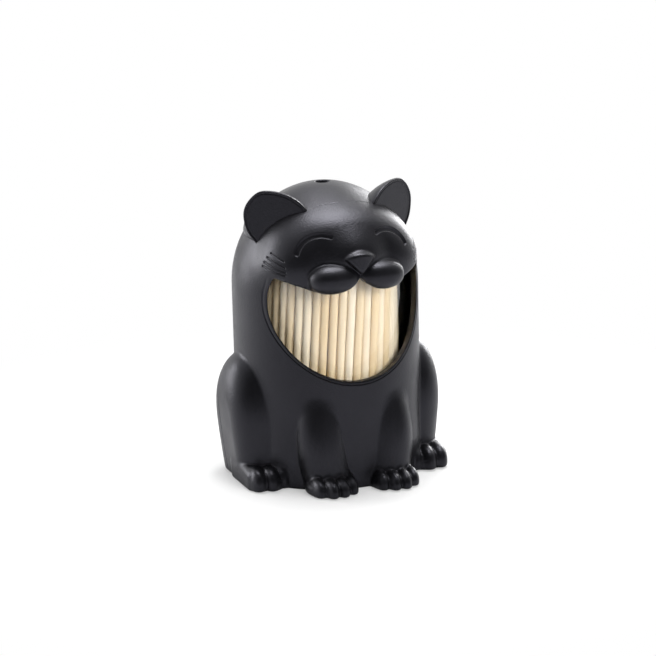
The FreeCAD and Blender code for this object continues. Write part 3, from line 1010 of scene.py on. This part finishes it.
    def seam_cuts(self) -> list[tuple[Vector, Vector, Callable[[Array], Array]]]:
        """Planes of the seam: a place, a normal and the test for the faces that it may cut."""
        ex, ey, ew = self.seam_ear
        w = math.radians(ew)
        shoulder, side = self.seam_shoulder, self.seam_side_y
        cuts = [
            (Vector((0, side, 0)), Vector((0, 1, 0)), lambda p: p[:, 2] < shoulder + 1.2),
            (Vector((0, 0, shoulder)), Vector((0, 0, 1)),
             lambda p: (p[:, 1] < side + 1.2) & (p[:, 1] > -8.0)),
        ]
        for sign in (-1, 1):
            ear = Vector((sign * ex, ey, 0))
            crown_normal = Vector((-sign * self.seam_crown_step / ex, 1, 0)).normalized()
            cuts.append((ear, Vector((-sign * math.sin(w), math.cos(w), 0)),
                         lambda p, k=sign: (p[:, 0] * k > ex - 0.6) & (p[:, 2] > shoulder - 1.2)))
            cuts.append((ear, crown_normal,
                         lambda p, k=sign: (p[:, 0] * k < ex + 0.6) & (p[:, 0] * k > -0.6) & (p[:, 2] > 70.0)))
        return cuts

    def cut(self, work: bmesh.types.BMesh) -> None:
        """Cuts the faces along the seam and along both edges of its groove."""
        for place, normal, near in self.seam_cuts():
            centres = np.array([f.calc_center_median() for f in work.faces]) / MM
            close = (np.abs((centres - np.array(place)) @ np.array(normal)) < self.seam_near) & near(centres)
            faces = [f for f, hit in zip(work.faces[:], close) if hit]
            for offset in (-self.seam_half, 0.0, self.seam_half):
                verts = list({v for f in faces for v in f.verts})
                edges = list({e for f in faces for e in f.edges})
                found = bmesh.ops.bisect_plane(work, geom=verts + edges + faces, dist=1e-7, plane_no=normal,
                                               plane_co=(place + normal * offset) * MM)
                faces = [g for g in found["geom"] if isinstance(g, bmesh.types.BMFace)]

    def press(self, work: bmesh.types.BMesh, rear: Array) -> None:
        """Presses the seam's groove into the skin, shallower over the crown and not along the shoulder."""
        for face, flag in zip(work.faces, rear):
            face.material_index = int(flag)
        seam = [e for e in work.edges if len(e.link_faces) == 2
                and e.link_faces[0].material_index != e.link_faces[1].material_index]
        for vert in {v for e in seam for v in e.verts}:
            height = vert.co.z / MM
            if abs(height - self.seam_shoulder) < 1.0 and vert.co.y / MM < self.seam_side_y - 0.4:
                continue
            if vert.normal.dot(Vector((vert.co.x, vert.co.y, 0.02))) > 0:
                share = self.seam_crown_share if height > self.seam_shoulder else 1.0
                vert.co -= vert.normal * (self.seam_depth * share * MM)
        log.info("seam: %d edges", len(seam))

    def split(self, mesh: bpy.types.Mesh) -> dict[str, bpy.types.Mesh]:
        """Cuts the skin along its seam, presses a fine groove there and parts it.

        Args:
            mesh: the whole shell, in metres.

        Returns:
            A mesh for each piece. All keep the normals of the whole, so no shading breaks where a smooth
            surface is parted.
        """
        work = bmesh.new()
        work.from_mesh(mesh)
        self.cut(work)
        work.normal_update()
        centres = np.array([f.calc_center_median() for f in work.faces]) / MM
        rear = self.behind_seam(centres)
        self.press(work, rear)
        work.normal_update()
        normals = np.array([v.normal for v in work.verts])
        points = np.array([v.co for v in work.verts])
        corners = [[v.index for v in f.verts] for f in work.faces]
        work.free()
        high = centres[:, 2] > self.chest_height
        groups = {"cat_front_face": ~rear & high, "cat_front_chest_and_legs": ~rear & ~high,
                  "cat_rear_shell": rear}
        pieces = {}
        for name, chosen in groups.items():
            faces = [corners[i] for i in np.flatnonzero(chosen)]
            used = np.unique(np.concatenate([np.asarray(f) for f in faces]))
            new_index = np.full(len(points), -1)
            new_index[used] = np.arange(len(used))
            part = bpy.data.meshes.new(name)
            part.from_pydata(points[used], [], [new_index[f].tolist() for f in faces])
            part.polygons.foreach_set("use_smooth", np.ones(len(part.polygons), bool))
            part.normals_split_custom_set_from_vertices(normals[used])
            pieces[name] = part
        return pieces

    def build(self, material: bpy.types.Material) -> None:
        """Makes the skin, parts it at the seam and places the pieces."""
        for name, part in self.split(self.refined(self.whole())).items():
            node = "rear_shell" if name == "cat_rear_shell" else "front_shell"
            placed(part, name, Body.CAT.value, Slot.SHELL.value, material, node)


@dataclass(frozen=True)
class Ear:
    """A flat-fronted ear with a round back, mm. Its outline has a reach along the front face and a height.

    The back is made of sections, each with its depth behind the face and its share of the outline's size. Its
    lower part swings outwards, where the ear grows out of the head.
    """

    root: Pair = (10.0, -13.55)
    turn: float = 33.0
    rim_inset: float = 0.75
    rim_height: float = 0.16
    outline: tuple[Pair, ...] = (
        (-1.2, 74.6), (0.0, 77.3), (2.5, 79.5), (4.4, 80.6), (6.9, 81.5), (9.5, 81.9), (11.85, 81.95),
        (13.3, 81.7), (15.1, 80.3), (16.3, 78.95), (17.35, 77.2), (17.7, 75.25), (17.5, 73.4), (17.1, 71.5),
        (16.3, 69.7), (15.0, 68.2), (13.6, 66.2))
    evening: int = 40
    middle: Pair = (8.5, 71.5)
    sections: tuple[Pair, ...] = (
        (0.0, 0.985), (0.12, 0.997), (0.35, 1.0), (0.9, 1.0), (1.8, 0.99), (3.0, 0.97), (4.4, 0.93),
        (5.8, 0.87), (7.0, 0.78), (8.0, 0.66), (8.8, 0.48), (9.2, 0.25))
    swing: float = 0.68
    swing_from: float = 0.4
    swing_heights: Pair = (70.5, 76.5)
    droop: float = 0.32

    def curve(self, count: int) -> Array:
        """The outline as an even, smooth curve through its points (Catmull-Rom).

        Args:
            count: how many points it gets.

        Returns:
            A row of reach and height for each point, evened out by repeated quarter, half, quarter means.
        """
        p = np.array(self.outline)
        p = np.concatenate([p[:1] * 2 - p[1:2], p, p[-1:] * 2 - p[-2:-1]])
        t = np.linspace(0, 1, 24, endpoint=False)[:, None]
        runs = []
        for a, b, c, d in zip(p[:-3], p[1:-2], p[2:-1], p[3:]):
            runs.append(0.5 * (2 * b + (c - a) * t + (2 * a - 5 * b + 4 * c - d) * t ** 2
                               + (3 * b - a - 3 * c + d) * t ** 3))
        line, _ = evenly(np.concatenate(runs + [p[-2:-1]]), count)
        for _ in range(self.evening):
            line[1:-1] = (line[:-2] + 2.0 * line[1:-1] + line[2:]) / 4.0
        return line

    def mesh(self, side: int, name: str) -> bpy.types.Mesh:
        """The ear on one side.

        Args:
            side: 1 for +X, -1 for -X.
            name: the mesh's name.

        Returns:
            A closed form: the flat face with a raised rim, then shrinking copies of the outline to the back.
        """
        line = self.curve(150)
        under = np.linspace(0, 1, 26)[1:-1, None]
        line = np.concatenate([line, line[-1] * (1 - under) + line[0] * under])
        middle = np.array(self.middle)
        arm = line - middle
        size = np.linalg.norm(arm, axis=1, keepdims=True)
        rows = [(middle + arm * share, 0.0) for share in (0.0, 0.35, 0.7)]
        for gap, proud in ((0.35, 0.0), (0.12, 0.0), (0.0, 0.14), (-0.12, 0.0), (-0.3, -self.rim_height)):
            rows.append((middle + arm * (1 - (self.rim_inset + gap) / size), proud))
        rows += [(middle + arm * share, depth - self.rim_height) for depth, share in self.sections]
        rows.append((middle + arm * 0.0, self.sections[-1][0]))
        w = math.radians(self.turn)
        grid = []
        for flat, depth in rows:
            low = 1.0 - eased(flat[:, 1], *self.swing_heights)
            out = flat[:, 0] + self.swing * max(depth - self.swing_from, 0.0) * low
            x = self.root[0] + out * math.cos(w) - depth * math.sin(w)
            y = self.root[1] + out * math.sin(w) + depth * math.cos(w)
            grid.append(np.stack([x * side, y, flat[:, 1] - max(depth - 1.0, 0.0) * self.droop], 1))
        sheets = Sheets()
        sheets.add(np.stack(grid), closed=True, flip=side > 0)
        return sheets.mesh(name)

    def build(self, material: bpy.types.Material) -> None:
        """Places both ears."""
        for side, name in ((-1, "ear_right"), (1, "ear_left")):
            placed(self.mesh(side, name), name, Body.CAT.value, Slot.SHELL.value, material, "rear_shell")


# ------------------------------------------------------------------ picks, cup and plug


@dataclass(frozen=True)
class PickBundle:
    """Toothpicks in rings round the middle one, leaning round the axis as a bundle does, mm and degrees.

    Each pick is shaken a little in its lean, its sway, its ring's radius and its place across.
    """

    length: float = 65.0
    radius: float = 1.13
    tip_radius: float = 0.18
    taper: float = 7.0
    pitch: float = 2.37
    step: float = 2.57
    ring_count: int = 8
    lean: float = 4.0
    foot: float = 2.22
    sides: int = 14
    seed: int = 11
    shakes: tuple[float, ...] = (0.22, 0.08, 0.05, 0.05)
    most_shake: float = 0.5

    def pick(self, shake: Array, radius: float, turn: float, lean: float) -> Array:
        """One pick as a grid: circles whose radius falls to the tips, tilted and placed in their ring.

        Args:
            shake: what it is shaken by.
            radius: its ring's radius.
            turn: its angle in the ring, radians.
            lean: how far it leans, degrees.

        Returns:
            Rows along the pick by columns round it.
        """
        z = np.array([0.0, 0.0, 0.25, 1.2, 3.6, self.taper, 20.0, 32.5, 45.0])
        z = np.concatenate([z, self.length - z[5::-1]])
        r = np.interp(np.minimum(z, self.length - z), [0.0, self.taper], [self.tip_radius, self.radius])
        r[[0, -1]] = 0.0
        around = np.linspace(0, 2 * math.pi, self.sides, endpoint=False)
        across, ahead = r[:, None] * np.cos(around), r[:, None] * np.sin(around)
        up = np.repeat(z[:, None], self.sides, 1) - self.length / 2
        tilt, sway = math.radians(lean + shake[0]), math.radians(shake[1])
        y = ahead * math.cos(tilt) + up * math.sin(tilt) + shake[3]
        z = -ahead * math.sin(tilt) + up * math.cos(tilt)
        x = across + z * sway + radius + shake[2]
        c, s = math.cos(turn), math.sin(turn)
        return np.stack([x * c - y * s, x * s + y * c, z + self.length / 2 + self.foot], -1)

    def ring(self, ring: int, material: bpy.types.Material) -> None:
        """Places one ring of picks, or the middle one as ring 0."""
        chance = np.random.default_rng(self.seed + ring)
        radius = ring * self.step
        count = max(1, int(2 * math.pi * radius / self.pitch))
        lean = math.degrees(math.atan(math.tan(math.radians(self.lean)) * ring / self.ring_count))
        sheets = Sheets()
        tones = []
        for index in range(count):
            shake = chance.normal(0.0, 1.0, 4) * self.shakes * (ring > 0)
            shake = np.clip(shake, -self.most_shake, self.most_shake)
            sheets.add(self.pick(shake, radius, 2 * math.pi * index / count, lean), closed=True)
            tones.append(chance.random())
        mesh = sheets.mesh("picks")
        # every pick has the same number of vertices, one pick after the other
        tone = mesh.attributes.new("tone", "FLOAT", "POINT")
        per = len(mesh.vertices) // count
        tone.data.foreach_set("value", np.repeat(tones, per)[:len(mesh.vertices)].astype(np.float32))
        if ring:
            placed(mesh, "pick_ring_%d" % ring, Body.REFILL_CUP.value, Slot.PICKS.value, material,
                   "toothpick_ring_%d" % ring)
        else:
            placed(mesh, "pick_in_the_middle", Body.NEXT_PICK.value, Slot.PICKS.value, material,
                   "next_toothpick")

    def build(self, material: bpy.types.Material) -> None:
        """Places every ring."""
        for ring in range(self.ring_count + 1):
            self.ring(ring, material)


@dataclass(frozen=True)
class ClearCup:
    """The clear cup, mm: a straight tube with a floor and a rounded rim."""

    outer: float = 22.7
    inner: float = 21.95
    foot: float = 1.2
    floor: float = 2.2
    top: float = 60.98
    foot_edge: float = 0.4
    floor_edge: float = 0.5
    columns: int = 192

    def build(self, material: bpy.types.Material) -> None:
        """Carries the cup's outline of radius and height round the axis."""
        a = np.linspace(0, math.pi, 9)
        half = (self.outer - self.inner) / 2
        rim = np.stack([self.inner + half + half * np.cos(a), self.top - half + half * np.sin(a)], 1)
        foot = [(0.0, self.foot), (self.outer - self.foot_edge, self.foot),
                (self.outer - 0.1, self.foot + 0.1), (self.outer, self.foot + self.foot_edge)]
        inside = [(self.inner, self.floor + self.floor_edge), (self.inner - 0.15, self.floor + 0.15),
                  (self.inner - self.floor_edge, self.floor), (0.0, self.floor)]
        outline = np.concatenate([foot, rim, inside])
        turn = np.linspace(0, 2 * math.pi, self.columns, endpoint=False)
        r, z = outline[:, 0, None], outline[:, 1, None]
        sheets = Sheets()
        grid = np.stack([r * np.cos(turn), r * np.sin(turn), np.repeat(z, self.columns, 1)], -1)
        sheets.add(grid, closed=True)
        placed(sheets.mesh("clear_cup"), "clear_cup", Body.REFILL_CUP.value, Slot.CUP.value, material,
               "pick_cup")


# ------------------------------------------------------------------ light, floor and camera


@dataclass(frozen=True)
class Lamp:
    """A soft rectangular lamp: its place and its width and height in metres, and its power in watts."""

    name: str
    place: Point
    size: Pair
    power: float
    shiny: bool = True

    def build(self) -> None:
        """Hangs the lamp so that it faces the object. Gloss doesn't show a lamp that isn't shiny."""
        data = bpy.data.lights.new(self.name, "AREA")
        data.shape = "RECTANGLE"
        data.size, data.size_y = self.size
        data.energy = self.power
        lamp = bpy.data.objects.new(self.name, data)
        lamp.location = self.place
        lamp.visible_glossy = self.shiny
        aim = Vector((0, 0, 0.04)) - Vector(self.place)
        lamp.rotation_mode = "QUATERNION"
        lamp.rotation_quaternion = aim.to_track_quat("-Z", "Y")
        bpy.context.scene.collection.objects.link(lamp)


@dataclass(frozen=True)
class Studio:
    """White floor and surroundings, plain soft lamps and the camera. Angles in degrees, lengths in metres."""

    azimuth: float = -20.4
    elevation: float = 14.33
    roll: float = 1.44
    distance: float = 0.7504
    target: Point = (0.0, -0.0009, 0.0407)
    pan: Pair = (-0.00024, 0.00092)
    focal_pixels: float = 2672.6
    frame_pixels: float = 656.0
    sensor_mm: float = 36.0
    floor_half: float = 3.0
    shadow_reach: Pair = (0.05, 0.16)
    shadow_white: Pair = (0.35, 1.0)
    surround_light: float = 0.30
    surround_shine: Pair = (0.06, 1.1)
    lamps: tuple[Lamp, ...] = (
        Lamp("lamp_above", (0.08, 0.14, 0.80), (0.5, 0.38), 6.8),
        Lamp("lamp_left", (-0.68, 0.62, 0.25), (0.3, 0.6), 4.0),
        Lamp("lamp_right", (0.68, 0.68, 0.25), (0.3, 0.6), 5.6),
        Lamp("fill_front", (0.30, -0.95, 0.42), (0.5, 0.5), 6.5, shiny=False))

    def camera(self) -> None:
        """Places the camera from its angle, distance and pan."""
        a, e, roll = (math.radians(v) for v in (self.azimuth, self.elevation, self.roll))
        right = Vector((math.cos(a), math.sin(a), 0.0))
        back = Vector((math.sin(a) * math.cos(e), -math.cos(a) * math.cos(e), math.sin(e)))
        up = back.cross(right)
        place = Vector(self.target) + back * self.distance - right * self.pan[0] - up * self.pan[1]
        across = right * math.cos(roll) - up * math.sin(roll)
        above = right * math.sin(roll) + up * math.cos(roll)
        data = bpy.data.cameras.new("camera")
        data.sensor_fit = "HORIZONTAL"
        data.sensor_width = self.sensor_mm
        data.lens = self.sensor_mm * self.focal_pixels / self.frame_pixels
        data.clip_start, data.clip_end = 0.05, 20.0
        camera = bpy.data.objects.new("camera", data)
        camera.matrix_world = Matrix((
            (across.x, above.x, back.x, place.x),
            (across.y, above.y, back.y, place.y),
            (across.z, above.z, back.z, place.z),
            (0, 0, 0, 1)))
        bpy.context.scene.collection.objects.link(camera)
        bpy.context.scene.camera = camera

    def world(self) -> None:
        """White for the camera, grey as a light; gloss and glass see it white behind and dim in front."""
        world = bpy.data.worlds.new("surroundings")
        bpy.context.scene.world = world
        world.use_nodes = True
        tree = world.node_tree
        tree.nodes.clear()
        path = add_node(tree, "ShaderNodeLightPath")
        way = add_node(tree, "ShaderNodeTexCoord").outputs["Generated"]
        axes = add_node(tree, "ShaderNodeSeparateXYZ", None, {"Vector": way})
        dim, bright = self.surround_shine
        behind = add_node(tree, "ShaderNodeMapRange", {"interpolation_type": "SMOOTHSTEP", "From Min": -0.5,
                          "From Max": 0.5, "To Min": dim, "To Max": bright}, {"Value": axes.outputs["Y"]})
        white = {"Color": (1, 1, 1, 1)}
        seen = add_node(tree, "ShaderNodeBackground", {**white, "Strength": 1.0})
        light = add_node(tree, "ShaderNodeBackground", {**white, "Strength": self.surround_light})
        shine = add_node(tree, "ShaderNodeBackground", white, {"Strength": behind.outputs["Result"]})
        gloss = add_node(tree, "ShaderNodeMath", {"operation": "MAXIMUM"},
                         {0: path.outputs["Is Glossy Ray"], 1: path.outputs["Is Transmission Ray"]})
        other = mixed(tree, gloss.outputs["Value"], light.outputs["Background"], shine.outputs["Background"])
        surface = mixed(tree, path.outputs["Is Camera Ray"], other, seen.outputs["Background"])
        add_node(tree, "ShaderNodeOutputWorld", None, {"Surface": surface})

    def floor(self) -> None:
        """A wide white floor that keeps the object's shadow, and throws back less light than white does."""
        mesh = bpy.data.meshes.new("floor")
        h = self.floor_half
        mesh.from_pydata([(-h, -h, 0), (h, -h, 0), (h, h, 0), (-h, h, 0)], [], [(0, 1, 2, 3)])
        floor = bpy.data.objects.new("floor", mesh)
        bpy.context.scene.collection.objects.link(floor)
        material, tree = new_material("floor_white")
        path = add_node(tree, "ShaderNodeLightPath")
        where = add_node(tree, "ShaderNodeTexCoord").outputs["Object"]
        away = add_node(tree, "ShaderNodeVectorMath", {"operation": "LENGTH"}, {0: where})
        near, far = self.shadow_reach
        least, most = self.shadow_white
        share = add_node(tree, "ShaderNodeMapRange", {"interpolation_type": "SMOOTHSTEP", "From Min": near,
                         "From Max": far, "To Min": least, "To Max": most}, {"Value": away.outputs["Value"]})
        white = add_node(tree, "ShaderNodeEmission", {"Color": (1, 1, 1, 1), "Strength": 1.0})
        pale = add_node(tree, "ShaderNodeBsdfDiffuse", {"Color": linear("#f4f4f4")})
        grey = add_node(tree, "ShaderNodeBsdfDiffuse", {"Color": linear("#d6d6d8")})
        seen = mixed(tree, share.outputs["Result"], pale.outputs["BSDF"], white.outputs["Emission"])
        surface = mixed(tree, path.outputs["Is Camera Ray"], grey.outputs["BSDF"], seen)
        add_node(tree, "ShaderNodeOutputMaterial", None, {"Surface": surface})
        mesh.materials.append(material)

    def build(self) -> None:
        """Camera, floor, surroundings and lamps."""
        bpy.context.scene.view_settings.view_transform = "Standard"
        self.camera()
        self.floor()
        self.world()
        for lamp in self.lamps:
            lamp.build()


def dress_plug() -> None:
    """Gives the plug, which is shown as its own solid, a slightly paler black."""
    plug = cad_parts["base_plug"]
    plug.data.materials.clear()
    plug.data.materials.append(MouldedBlack(name="plug_black_abs", colour="#202022").build())


def main() -> None:
    """Builds the scene in order."""
    logging.basicConfig(level=logging.INFO, format="%(name)s: %(message)s")
    Studio().build()
    black = MouldedBlack().build()
    CatShell(CatForms()).build(black)
    Ear().build(black)
    PickBundle().build(BarePick().build())
    ClearCup().build(ClearStyrene().build())
    dress_plug()


if __name__ == "__main__":
    main()
